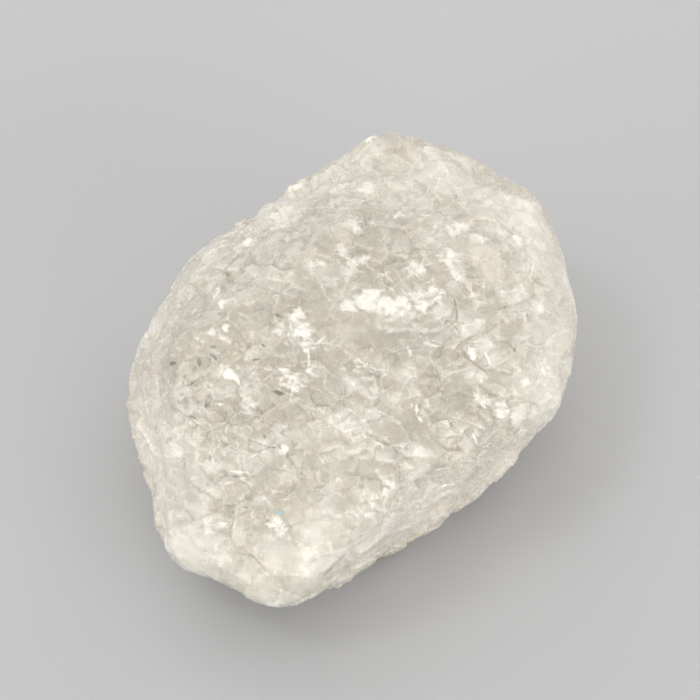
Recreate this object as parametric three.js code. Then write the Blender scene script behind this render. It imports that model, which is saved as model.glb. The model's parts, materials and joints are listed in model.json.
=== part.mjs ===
// Raw quartz: one palm-sized lump of massive, granular quartz, broken on every side and lying on
// its flattest break. Millimetres, +Z up, X along the lump. The origin is on the ground, under
// the middle of the lump.
//
// The form is made in three steps. Flat breaks round a core point give a block with softened
// edges. Swells, ledges and scoops shape the breaks. Angular grains, packed side by side, then
// raise and sink the whole skin, less on the few breaks that are glassy.

import * as THREE from 'three';
import { mergeVertices } from 'three/addons/utils/BufferGeometryUtils.js';

// ---- Driving sizes, in millimetres and degrees ----------------------------------------------

const CORE = new THREE.Vector3(2, -0.6, 18);
const MESH_DETAIL = 21;          // an icosahedron's edge is parted in 22: 9,680 triangles
const EDGE_SHARPNESS = 28;       // a higher power leaves sharper edges between the breaks

const GRAIN_SPACING = 4.6;
const GRAIN_RELIEF = 1.1;        // height of a steep grain over the joints round it
const GRAIN_MEAN = -0.35;        // share of the relief at which the grains lie on average
const SWELL_SPACING = 15;
const SWELL_RELIEF = 0.8;
const LIP_WIDTH = 0.9;           // run of a ledge's riser
const LEDGE_REACH = 8;           // how far below its lip a ledge fades out

// Each break: the way it faces, its distance from the core, and how grainy it is, from 0 for a
// glassy break to 1.
const BREAKS = [
  { name: 'crown', azimuth: -150, elevation: 80, distance: 18.4, grain: 1 },
  { name: 'crown_far', azimuth: 10, elevation: 72, distance: 19.4, grain: 1 },
  { name: 'near_slope', azimuth: -172, elevation: 40, distance: 23.5, grain: 1 },
  { name: 'toe', azimuth: 179, elevation: -26, distance: 32.6, grain: 0.4 },
  { name: 'toe_under', azimuth: 165, elevation: -60, distance: 27.2, grain: 0.6 },
  { name: 'left_near', azimuth: 138, elevation: 12, distance: 27.2, grain: 1 },
  { name: 'left_near_under', azimuth: 118, elevation: -42, distance: 26, grain: 1 },
  { name: 'left', azimuth: 104, elevation: 26, distance: 23.2, grain: 1 },
  { name: 'left_under', azimuth: 85, elevation: -8, distance: 24.2, grain: 1 },
  { name: 'left_high', azimuth: 74, elevation: 56, distance: 18.5, grain: 1 },
  { name: 'left_far', azimuth: 60, elevation: 0, distance: 22.6, grain: 1 },
  { name: 'far_high', azimuth: -14, elevation: 58, distance: 22.4, grain: 1 },
  { name: 'far', azimuth: -5, elevation: -2, distance: 30, grain: 1 },
  { name: 'far_left', azimuth: 30, elevation: -4, distance: 28, grain: 1 },
  { name: 'glassy', azimuth: -56, elevation: 21, distance: 26, grain: 0.15 },
  { name: 'glassy_under', azimuth: -34, elevation: -14, distance: 28.4, grain: 0.5 },
  { name: 'right', azimuth: -78, elevation: 18, distance: 23.4, grain: 1 },
  { name: 'right_under', azimuth: -69, elevation: -9, distance: 25.2, grain: 1 },
  { name: 'right_foot', azimuth: -74, elevation: -46, distance: 24.6, grain: 1 },
  { name: 'front_right', azimuth: -111, elevation: -16, distance: 20.4, grain: 1 },
  { name: 'front_low', azimuth: -92, elevation: -52, distance: 21.6, grain: 1 },
  { name: 'front_slope', azimuth: -115, elevation: 45, distance: 19.4, grain: 1 },
  { name: 'toe_right', azimuth: -136, elevation: -22, distance: 28, grain: 1 },
  { name: 'under_far', azimuth: 10, elevation: -70, distance: 22, grain: 1 },
  { name: 'under_left', azimuth: 95, elevation: -68, distance: 21, grain: 1 },
  { name: 'under_toe', azimuth: -175, elevation: -70, distance: 22, grain: 1 },
  { name: 'base', azimuth: 0, elevation: -90, distance: 19, grain: 0.3 },
];

// Each ledge: where its lip is, seen from the core, the compass way that runs uphill over the
// lip, the length of the lip, and how far it drops.
const LEDGES = [
  { name: 'brow', azimuth: -124, elevation: 60, heading: 38, length: 17, drop: 1.2 },
  { name: 'shoulder', azimuth: -46, elevation: 36, heading: 100, length: 13, drop: 0.9 },
  { name: 'near_step', azimuth: 178, elevation: 52, heading: 15, length: 12, drop: 0.9 },
  { name: 'front_step', azimuth: -131, elevation: 11, heading: 55, length: 13, drop: 0.8 },
  { name: 'toe_step', azimuth: -166, elevation: 8, heading: 30, length: 12, drop: 0.7 },
  { name: 'back_step', azimuth: 70, elevation: 24, heading: -95, length: 18, drop: 1.2 },
  { name: 'far_step', azimuth: 12, elevation: 8, heading: -150, length: 16, drop: 1 },
];

// Each scoop: a shallow shell-shaped scar, its place seen from the core, its radius and depth.
const SCOOPS = [
  { name: 'front_scar', azimuth: -107, elevation: 34, radius: 5, depth: 0.8 },
  { name: 'right_scar', azimuth: -64, elevation: 34, radius: 5.5, depth: 0.7 },
  { name: 'notch', azimuth: -67, elevation: 0, radius: 3, depth: 1.2 },
  { name: 'far_scar', azimuth: -8, elevation: 50, radius: 5, depth: 0.8 },
  { name: 'left_scar', azimuth: 166, elevation: 22, radius: 6, depth: 0.7 },
  { name: 'toe_scar', azimuth: -168, elevation: -2, radius: 5, depth: 0.6 },
  { name: 'back_scar', azimuth: 42, elevation: 2, radius: 7, depth: 1 },
  { name: 'heel_scar', azimuth: 108, elevation: -14, radius: 5.5, depth: 0.9 },
];

// ---- Breaks: a block with softened edges ----------------------------------------------------

/** Unit vector that faces an azimuth from +X and an elevation. */
function facing(azimuth, elevation) {
  const a = THREE.MathUtils.degToRad(azimuth);
  const e = THREE.MathUtils.degToRad(elevation);
  return new THREE.Vector3(Math.cos(a) * Math.cos(e), Math.sin(a) * Math.cos(e), Math.sin(e));
}

const PLANES = BREAKS.map(({ azimuth, elevation, distance, grain }) => ({
  normal: facing(azimuth, elevation),
  distance,
  grain,
}));

/** Point of the block on a ray from the core, with the normal and the graininess there. */
function blockPoint(direction) {
  let sum = 0;
  let weights = 0;
  let grain = 0;
  const normal = new THREE.Vector3();
  for (const plane of PLANES) {
    const nearness = Math.max(direction.dot(plane.normal) / plane.distance, 0);
    const weight = nearness ** (EDGE_SHARPNESS - 1) / plane.distance;
    sum += nearness ** EDGE_SHARPNESS;
    weights += weight;
    grain += weight * plane.grain;
    normal.addScaledVector(plane.normal, weight);
  }
  const reach = 1 / sum ** (1 / EDGE_SHARPNESS);
  return {
    point: CORE.clone().addScaledVector(direction, reach),
    normal: normal.normalize(),
    grain: grain / weights,
  };
}

// ---- Ledges and scoops ----------------------------------------------------------------------

const STEPS = LEDGES.map(({ azimuth, elevation, heading, length, drop }) => {
  const { point, normal } = blockPoint(facing(azimuth, elevation));
  const uphill = facing(heading, 0).projectOnPlane(normal).normalize();
  return { point, uphill, length, drop };
});

const SCARS = SCOOPS.map(({ azimuth, elevation, radius, depth }) => ({
  point: blockPoint(facing(azimuth, elevation)).point,
  radius,
  depth,
}));

/** How far the ledges lower a point: most just below a lip, fading to nothing further down. */
function ledgeDepth(point) {
  let depth = 0;
  for (const step of STEPS) {
    const offset = point.clone().sub(step.point);
    const below = -offset.dot(step.uphill);
    const aside = offset.addScaledVector(step.uphill, below).length();
    const riser = THREE.MathUtils.smoothstep(below, 0, LIP_WIDTH);
    const tread = 1 - THREE.MathUtils.smoothstep(below, LIP_WIDTH, LEDGE_REACH);
    const middle = 1 - THREE.MathUtils.smoothstep(aside, step.length / 4, step.length / 2);
    depth += step.drop * riser * tread * middle;
  }
  return depth;
}

/** How far the scoops lower a point: a shallow bowl with a crisp rim. */
function scoopDepth(point) {
  let depth = 0;
  for (const scar of SCARS) {
    const share = point.distanceTo(scar.point) / scar.radius;
    depth += scar.depth * Math.max(1 - share * share, 0);
  }
  return depth;
}

// ---- Grains and swells ----------------------------------------------------------------------

/** Repeatable random number from 0 to 1 for a whole-numbered place and a salt. */
function chance(x, y, z, salt) {
  let h = Math.imul(x, 374761393) ^ Math.imul(y, 668265263) ^ Math.imul(z, 1442695041);
  h = Math.imul(h ^ Math.imul(salt + 1, 974711), 1274126177);
  h = Math.imul(h ^ (h >>> 15), 2246822519);
  h = Math.imul(h ^ (h >>> 13), 3266489917);
  return ((h ^ (h >>> 16)) >>> 0) / 2 ** 32;
}

/** Vector with parts from -1 to 1, random for a place and a salt. */
function randomVector(place, salt) {
  const part = (axis) => 2 * chance(place.x, place.y, place.z, salt + axis) - 1;
  return new THREE.Vector3(part(0), part(1), part(2));
}

/** Calls a function with every whole-numbered place in a cube of places. */
function forCells(corner, first, last, visit) {
  for (let x = first; x <= last; x += 1) {
    for (let y = first; y <= last; y += 1) {
      for (let z = first; z <= last; z += 1) {
        visit(corner.clone().add(new THREE.Vector3(x, y, z)));
      }
    }
  }
}

const GRAIN_FACES = 5;
const GRAIN_CROOKEDNESS = 0.4;    // how far a grain's middle strays from its cell's, in cells
const PEAK_SPREAD = 0.35;         // how unequal the grains' peaks are, in cells
const GRAIN_ROUNDNESS = 0.8;
const GRAIN_SALT = 3;
const SWELL_SALT = 71;

/** Height over a point of the highest grain near it, where each grain is a crooked pyramid. */
function grainHeight(point) {
  const place = point.clone().divideScalar(GRAIN_SPACING);
  let highest = -Infinity;
  forCells(place.clone().floor(), -1, 1, (cell) => {
    const middle = randomVector(cell, GRAIN_SALT).multiplyScalar(GRAIN_CROOKEDNESS).addScalar(0.5);
    const offset = place.clone().sub(cell).sub(middle);
    let slope = 0;
    for (let face = 1; face <= GRAIN_FACES; face += 1) {
      const outward = randomVector(cell, GRAIN_SALT + 3 * face).normalize();
      slope = Math.max(slope, offset.dot(outward));
    }
    const peak = PEAK_SPREAD * chance(cell.x, cell.y, cell.z, GRAIN_SALT + 50);
    highest = Math.max(highest, peak - slope - GRAIN_ROUNDNESS * offset.lengthSq());
  });
  return highest - GRAIN_MEAN;
}

/** Smooth random height from -1 to 1, in broad lumps. */
function swellHeight(point) {
  const place = point.clone().divideScalar(SWELL_SPACING);
  let height = 0;
  forCells(place.clone().floor(), 0, 1, (cell) => {
    const offset = place.clone().sub(cell);
    const share = [offset.x, offset.y, offset.z]
      .map((part) => 1 - THREE.MathUtils.smoothstep(Math.abs(part), 0, 1))
      .reduce((product, part) => product * part);
    height += share * (2 * chance(cell.x, cell.y, cell.z, SWELL_SALT) - 1);
  });
  return height;
}

// ---- The lump -------------------------------------------------------------------------------

/** Closed geometry of the whole lump, flat where it rests on the ground. */
function lumpGeometry() {
  const sphere = new THREE.IcosahedronGeometry(1, MESH_DETAIL);
  sphere.deleteAttribute('normal');
  sphere.deleteAttribute('uv');
  const lump = mergeVertices(sphere, 1e-5);
  const positions = lump.getAttribute('position');
  const direction = new THREE.Vector3();
  for (let i = 0; i < positions.count; i += 1) {
    direction.fromBufferAttribute(positions, i).normalize();
    const { point, normal, grain } = blockPoint(direction);
    const rough = SWELL_RELIEF * swellHeight(point) + GRAIN_RELIEF * grainHeight(point);
    const relief = grain * rough - ledgeDepth(point) - scoopDepth(point);
    point.addScaledVector(normal, relief);
    positions.setXYZ(i, point.x, point.y, Math.max(point.z, 0));
  }
  lump.computeVertexNormals();
  return lump;
}

const quartzMaterial = new THREE.MeshStandardMaterial({
  color: 0xd8d3c5,
  roughness: 0.35,
  metalness: 0,
});

const quartz = new THREE.Mesh(lumpGeometry(), quartzMaterial);
quartz.name = 'quartz';

const rawQuartz = new THREE.Group();
rawQuartz.add(quartz);

export default rawQuartz;
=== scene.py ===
"""Raw quartz: a palm-sized lump of milky, granular quartz on a plain studio floor.

The lump is one piece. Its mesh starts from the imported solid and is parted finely. Three layers of
broken shards then shape its surface, and a crust of sugary crumbs covers it where the stone is
shattered. The finish is clear quartz, milky inside, and snow white where it is shattered.
"""

from __future__ import annotations

import json
import logging
import math
from dataclasses import dataclass
from itertools import product
from typing import Any

import bmesh
import bpy
import numpy as np
from mathutils import Matrix, Vector
from mathutils.bvhtree import BVHTree

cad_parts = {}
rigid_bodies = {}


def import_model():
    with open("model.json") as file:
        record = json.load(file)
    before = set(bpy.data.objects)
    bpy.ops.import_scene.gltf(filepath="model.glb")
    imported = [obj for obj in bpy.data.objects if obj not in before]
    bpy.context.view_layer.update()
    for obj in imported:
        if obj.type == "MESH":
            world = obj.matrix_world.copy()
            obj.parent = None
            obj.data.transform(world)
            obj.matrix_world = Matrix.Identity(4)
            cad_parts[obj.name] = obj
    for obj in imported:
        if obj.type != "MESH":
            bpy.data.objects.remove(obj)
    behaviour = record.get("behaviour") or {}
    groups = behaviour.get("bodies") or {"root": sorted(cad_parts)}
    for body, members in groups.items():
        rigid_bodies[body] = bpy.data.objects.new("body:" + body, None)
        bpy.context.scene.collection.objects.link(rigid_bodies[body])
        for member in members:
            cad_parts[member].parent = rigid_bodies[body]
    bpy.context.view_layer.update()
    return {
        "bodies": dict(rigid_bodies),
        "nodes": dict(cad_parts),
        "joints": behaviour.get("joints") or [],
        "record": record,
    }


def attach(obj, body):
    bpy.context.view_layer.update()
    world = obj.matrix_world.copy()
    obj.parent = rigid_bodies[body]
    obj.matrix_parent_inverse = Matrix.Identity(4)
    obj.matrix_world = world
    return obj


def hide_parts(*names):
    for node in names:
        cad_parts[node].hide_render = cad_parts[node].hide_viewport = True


LOG = logging.getLogger("raw_quartz")
MM = 0.001
TINY = 1e-9
RIGHT_ANGLE = 90.0
MIX_COLOURS = (6, 7)  # a Mix node's two colour inputs
MIX_RESULT = 2  # its colour output
Colour = tuple[float, float, float, float]
Window = tuple[float, float]  # the two values between which a share rises from 0 to 1


# ---- Shader maths -----------------------------------------------------------------------------


class Field:
    """One output socket of a node tree, on which arithmetic adds Math nodes."""

    def __init__(self, tree: Tree, socket: bpy.types.NodeSocket | None) -> None:
        """Keep the tree and the socket, which a node without outputs doesn't have."""
        self.tree = tree
        self.socket = socket

    def _math(self, operation: str, first: Any, second: Any) -> Field:
        """Add one Math node.

        Args:
            operation: The Math node's operation.
            first: The value or field of its first socket.
            second: The value or field of its second socket.

        Returns:
            The node's result.
        """
        return self.tree.node("ShaderNodeMath", {"operation": operation}, {0: first, 1: second})

    def __add__(self, other: Any) -> Field:
        """Return self + other."""
        return self._math("ADD", self, other)

    def __radd__(self, other: Any) -> Field:
        """Return other + self."""
        return self._math("ADD", other, self)

    def __sub__(self, other: Any) -> Field:
        """Return self - other."""
        return self._math("SUBTRACT", self, other)

    def __rsub__(self, other: Any) -> Field:
        """Return other - self."""
        return self._math("SUBTRACT", other, self)

    def __mul__(self, other: Any) -> Field:
        """Return self * other."""
        return self._math("MULTIPLY", self, other)

    def __rmul__(self, other: Any) -> Field:
        """Return other * self."""
        return self._math("MULTIPLY", other, self)


class Tree:
    """A node tree, of a material or of a mesh, with methods that add and link its nodes."""

    def __init__(self, group: bpy.types.NodeTree) -> None:
        """Empty the node tree and keep it.

        Args:
            group: The node tree.
        """
        self.nodes = group.nodes
        self.links = group.links
        self.nodes.clear()

    def node(
        self,
        kind: str,
        settings: dict[str, Any],
        inputs: dict[str | int, Any],
        output: str | int = 0,
    ) -> Field:
        """Add one node.

        Args:
            kind: The node's type.
            settings: Its own settings, which are set first.
            inputs: The value or field of each input socket, by name or number.
            output: The name or number of the output to return.

        Returns:
            That output.
        """
        made = self.nodes.new(kind)
        for key, value in settings.items():
            setattr(made, key, value)
        for key, value in inputs.items():
            if isinstance(value, Field):
                self.links.new(value.socket, made.inputs[key])
            else:
                made.inputs[key].default_value = value
        outputs = made.outputs
        return Field(self, outputs[output]) if len(outputs) else Field(self, None)

    def ramp(self, value: Field, low: float, high: float) -> Field:
        """Run a value smoothly from 0 at low to 1 at high."""
        return self.node(
            "ShaderNodeMapRange",
            {"interpolation_type": "SMOOTHSTEP"},
            {"Value": value, "From Min": low, "From Max": high},
        )

    def vector(self, operation: str, first: Any, second: Any) -> Field:
        """Add one Vector Math node."""
        return self.node("ShaderNodeVectorMath", {"operation": operation}, {0: first, 1: second})

    def larger(self, first: Field, second: Field) -> Field:
        """Return the larger of two values."""
        return self.node("ShaderNodeMath", {"operation": "MAXIMUM"}, {0: first, 1: second})

    def blend(self, share: Field, first: Any, second: Any) -> Field:
        """Blend two colours: the first at share 0, the second at share 1."""
        return self.node(
            "ShaderNodeMix",
            {"data_type": "RGBA"},
            {"Factor": share, MIX_COLOURS[0]: first, MIX_COLOURS[1]: second},
            output=MIX_RESULT,
        )


# ---- Grains -----------------------------------------------------------------------------------


@dataclass(frozen=True)
class Grain:
    """The way in which the stone's grains are drawn out, and how many times their width."""

    azimuth: float = -62.0
    elevation: float = 50.0
    length: float = 2.0

    def squeeze(self, tree: Tree, place: Field) -> Field:
        """Turn places so that the grains stand upright, and press them as long as they are wide.

        Args:
            tree: The node tree of a mesh or of a material.
            place: The place in the stone, in metres.

        Returns:
            The place in a stone whose grains aren't drawn out.
        """
        sideways = Matrix.Rotation(math.radians(-self.azimuth), 3, "Z")
        upright = Matrix.Rotation(math.radians(self.elevation - RIGHT_ANGLE), 3, "X") @ sideways
        turned = tree.node(
            "ShaderNodeVectorRotate",
            {"rotation_type": "EULER_XYZ"},
            {"Vector": place, "Center": (0.0, 0.0, 0.0), "Rotation": tuple(upright.to_euler())},
        )
        return tree.vector("MULTIPLY", turned, (1.0, 1.0, 1.0 / self.length))


@dataclass(frozen=True)
class Shards:
    """A layer's shards, as fields of a node tree."""

    draw: Field
    offset: Field
    chance: Field
    border: Field


@dataclass(frozen=True)
class ShardLayer:
    """One layer of shards that fill the stone, each broken off at its own level and tilt.

    The mesh and the finish both take the shards from here, so that the steps in the surface and
    the changes of tone fall in the same places.
    """

    name: str
    spacing: float
    relief: float
    shift: float
    roll: float
    stretch: tuple[float, float, float]
    bend: float = 0.25
    bend_scale: float = 0.7
    steps: float = 0.22
    tilt: float = 0.65
    shuffle: tuple[float, float, float] = (7.3, 3.7, 5.1)

    def shards(self, tree: Tree, place: Field) -> Shards:
        """Add the layer to a node tree.

        Args:
            tree: The node tree of a mesh or of a material.
            place: The place in the stone, squeezed along the grain, in metres.

        Returns:
            Three numbers from 0 to 1 drawn for the shard at that place, the way there from the
            shard's middle in cells, one more number from 0 to 1, and how far its border is.
        """
        scale = tuple(1.0 / (self.spacing * axis) for axis in self.stretch)
        turned = tree.node(
            "ShaderNodeVectorRotate",
            {"rotation_type": "Z_AXIS"},
            {"Vector": place, "Center": (0.0, 0.0, 0.0), "Angle": math.radians(self.roll)},
        )
        cells = tree.vector("ADD", tree.vector("MULTIPLY", turned, scale), (self.shift,) * 3)
        waves = tree.node(
            "ShaderNodeTexNoise",
            {},
            {"Vector": cells, "Scale": self.bend_scale, "Detail": 0.0},
            output="Color",
        )
        bent = tree.vector("ADD", cells, tree.vector("MULTIPLY", waves, (self.bend,) * 3))
        cell = {"Vector": bent, "Scale": 1.0}
        draw = tree.node("ShaderNodeTexVoronoi", {}, cell, output="Color")
        middle = tree.node("ShaderNodeTexVoronoi", {}, cell, output="Position")
        border = tree.node("ShaderNodeTexVoronoi", {"feature": "DISTANCE_TO_EDGE"}, cell)
        mixed = tree.node(
            "ShaderNodeVectorMath",
            {"operation": "DOT_PRODUCT"},
            {0: draw, 1: self.shuffle},
            output="Value",
        )
        chance = tree.node("ShaderNodeMath", {"operation": "FRACT"}, {0: mixed})
        return Shards(draw, tree.vector("SUBTRACT", bent, middle), chance, border)

    def height(self, draw: np.ndarray, offset: np.ndarray, chance: np.ndarray) -> np.ndarray:
        """Work out how high the broken surface is, in metres.

        Args:
            draw: The three numbers drawn for each point's shard.
            offset: The way to each point from its shard's middle, in cells.
            chance: One more number for the shard.

        Returns:
            One height a point.
        """
        uphill = 2 * draw - 1
        uphill *= self.tilt / (np.linalg.norm(uphill, axis=1, keepdims=True) + TINY)
        return self.relief * (self.steps * chance + np.einsum("ij,ij->i", offset, uphill))


@dataclass(frozen=True)
class Cloud:
    """Smooth noise, of one size."""

    spacing: float
    seed: int

    def density(self, points: np.ndarray) -> np.ndarray:
        """Give the noise at each point.

        Args:
            points: The points.

        Returns:
            A number from 0 to 1 at each point.
        """
        places = points / self.spacing
        low = np.floor(places.min(axis=0)).astype(int)
        high = np.floor(places.max(axis=0)).astype(int) + 2
        grid = np.random.default_rng(self.seed).random(high - low)
        corners = np.floor(places).astype(int)
        within = places - corners
        within = within * within * (3.0 - 2.0 * within)
        total = np.zeros(len(points))
        for step in product((0, 1), repeat=3):
            weight = np.prod(np.where(step, within, 1.0 - within), axis=1)
            total += weight * grid[tuple((corners + np.array(step) - low).T)]
        return total


class Cutter:
    """Reads off the shards at a mesh's points, with a node tree of its own."""

    def __init__(self, mesh: bpy.types.Mesh) -> None:
        """Keep the mesh and start the node tree.

        Args:
            mesh: The mesh.
        """
        self.mesh = mesh
        self.group = bpy.data.node_groups.new("cutter", "GeometryNodeTree")
        for side in ("INPUT", "OUTPUT"):
            self.group.interface.new_socket("Mesh", in_out=side, socket_type="NodeSocketGeometry")
        self.tree = Tree(self.group)
        self.place = Grain().squeeze(self.tree, self.tree.node("GeometryNodeInputPosition", {}, {}))
        self.kept = self.tree.node("NodeGroupInput", {}, {})

    def keep(self, name: str, value: Field) -> None:
        """Write a vector field on the mesh's points under a name."""
        self.kept = self.tree.node(
            "GeometryNodeStoreNamedAttribute",
            {"data_type": "FLOAT_VECTOR", "domain": "POINT"},
            {"Geometry": self.kept, "Name": name, "Value": value},
        )

    def heights(self, layers: tuple[ShardLayer, ...]) -> list[np.ndarray]:
        """Work out each layer's height at each point of the mesh.

        Args:
            layers: The layers.

        Returns:
            For each layer, one height a point, in metres.
        """
        for layer in layers:
            shards = layer.shards(self.tree, self.place)
            self.keep(f"{layer.name}_draw", shards.draw)
            self.keep(f"{layer.name}_offset", shards.offset)
            self.keep(f"{layer.name}_chance", shards.chance)
        self.tree.node("NodeGroupOutput", {}, {0: self.kept})
        carrier = bpy.data.objects.new("carrier", self.mesh)
        bpy.context.scene.collection.objects.link(carrier)
        carrier.modifiers.new("cut", "NODES").node_group = self.group
        cut = carrier.evaluated_get(bpy.context.evaluated_depsgraph_get()).data
        found = []
        for layer in layers:
            draw = self.read(cut, f"{layer.name}_draw")
            offset = self.read(cut, f"{layer.name}_offset")
            chance = self.read(cut, f"{layer.name}_chance")[:, 0]
            found.append(layer.height(draw, offset, chance))
        bpy.data.objects.remove(carrier)
        bpy.data.node_groups.remove(self.group)
        return found

    def read(self, mesh: bpy.types.Mesh, name: str) -> np.ndarray:
        """Read a vector field from a mesh's points.

        Args:
            mesh: The mesh.
            name: The field's name.

        Returns:
            One vector a point.
        """
        values = np.empty(len(mesh.vertices) * 3, dtype=np.float32)
        mesh.attributes[name].data.foreach_get("vector", values)
        return values.reshape(-1, 3)


# ---- Places on the lump -----------------------------------------------------------------------


@dataclass(frozen=True)
class Spot:
    """A round place on the lump, where the camera sees it in a frame of 700 pixels a side."""

    name: str
    x: float
    y: float
    radius: float
    strength: float = 1.0


@dataclass(frozen=True)
class Stroke:
    """A thin mark on the lump, between two places in the same frame."""

    name: str
    x: float
    y: float
    end_x: float
    end_y: float
    width: float


@dataclass(frozen=True)
class Viewpoint:
    """The camera's place: a long lens that looks down on the lump from over its toe."""

    azimuth: float = -62.0
    elevation: float = 50.0
    distance: float = 0.346
    lens: float = 150.0
    sensor: float = 36.0
    frame: float = 700.0
    near: float = 0.01
    target: tuple[float, float, float] = (-0.0018, -0.00145, 0.0233)

    def axes(self) -> tuple[Vector, Vector, Vector]:
        """Work out which way the view faces.

        Returns:
            Its right, up and backward directions.
        """
        azimuth, elevation = math.radians(self.azimuth), math.radians(self.elevation)
        back = Vector(
            (
                math.sin(azimuth) * math.cos(elevation),
                -math.cos(azimuth) * math.cos(elevation),
                math.sin(elevation),
            )
        )
        right = Vector((math.cos(azimuth), math.sin(azimuth), 0.0))
        return right, back.cross(right), back

    def place(self) -> Vector:
        """Return where the camera stands."""
        return Vector(self.target) + self.distance * self.axes()[2]

    def ray(self, x: float, y: float) -> Vector:
        """Work out the direction in which the camera sees one pixel.

        Args:
            x: How far the pixel is from the frame's left side.
            y: How far it is from the frame's top.

        Returns:
            The direction.
        """
        right, up, back = self.axes()
        pixel = self.sensor / self.lens / self.frame
        middle = self.frame / 2
        return ((x - middle) * pixel * right + (middle - y) * pixel * up - back).normalized()

    def make_camera(self) -> None:
        """Make the scene's camera."""
        lens = bpy.data.cameras.new("camera")
        lens.lens = self.lens
        lens.sensor_width = self.sensor
        lens.clip_start = self.near
        camera = bpy.data.objects.new("camera", lens)
        camera.location = self.place()
        camera.rotation_euler = self.axes()[2].to_track_quat("Z", "Y").to_euler()
        bpy.context.scene.collection.objects.link(camera)
        bpy.context.scene.camera = camera


# ---- Finish -----------------------------------------------------------------------------------


@dataclass(frozen=True)
class Noise:
    """Noise all through the stone, for the finish alone."""

    scale: float
    detail: float
    roughness: float = 0.5

    def field(self, tree: Tree, place: Field) -> Field:
        """Add the noise to a node tree."""
        return tree.node(
            "ShaderNodeTexNoise",
            {},
            {
                "Vector": place,
                "Scale": self.scale,
                "Detail": self.detail,
                "Roughness": self.roughness,
            },
        )


@dataclass(frozen=True)
class Frost:
    """Sugary white crumbs, where the stone is crushed."""

    torn: Noise = Noise(500.0, 5.0, 0.7)
    calming: float = 0.3
    snow_pull: float = 0.8
    fine_pull: float = 0.4
    crumbs_pull: float = 0.25
    edge: Window = (1.22, 1.38)
    torn_grain: float = 0.5
    crumbs_grain: float = 0.2
    snow_grain: float = 0.35
    snow_level: float = 0.7
    grain_edge: Window = (0.7, 1.0)
    between_grains: float = 0.3
    on_grains: float = 0.65

    def share(
        self,
        tree: Tree,
        place: Field,
        snow: Field,
        smooth: Field,
        chances: tuple[Field, Field, Field],
    ) -> Field:
        """Show how far the stone is crushed.

        Args:
            tree: The material's node tree.
            place: The place in the stone, squeezed along the grain.
            snow: How near the place is to a shattered spot, or to a painted glint spot.
            smooth: How near it is to a smooth spot.
            chances: A number from 0 to 1 for the fine shard there, one for the crumb, and one
                for the speckle.

        Returns:
            How much of the place is white crust.
        """
        fine, crumb, speckle = chances
        torn = self.torn.field(tree, place)
        snow = snow - self.calming * smooth
        crushed = self.snow_pull * snow + torn + self.fine_pull * fine + self.crumbs_pull * crumb
        grain = speckle + self.torn_grain * torn + self.crumbs_grain * crumb
        grain = grain + self.snow_grain * (snow - self.snow_level)
        white = self.between_grains + self.on_grains * tree.ramp(grain, *self.grain_edge)
        return tree.ramp(crushed, *self.edge) * white


@dataclass(frozen=True)
class Breaks:
    """Thin white breaks that follow parts of some shards' borders."""

    width: float = 0.06
    raggedness: float = 0.3
    patchiness: float = 2.5
    edge: Window = (1.9, 2.4)
    faintest: float = 0.09
    growth: float = 0.35

    def share(self, tree: Tree, shards: Shards, patch: Field, speckle: Field) -> Field:
        """Show the breaks between one layer's shards.

        Args:
            tree: The material's node tree.
            shards: The layer's shards.
            patch: Broad noise, which picks the stretches that are open.
            speckle: Fine noise, which frays the breaks.

        Returns:
            How much of the place is white crust.
        """
        frayed = shards.border + self.raggedness * (speckle - 0.5)
        line = 1.0 - tree.ramp(frayed, 0.0, self.width)
        opened = tree.ramp(shards.chance + self.patchiness * patch, *self.edge)
        return line * (self.faintest + self.growth * opened)


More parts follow.
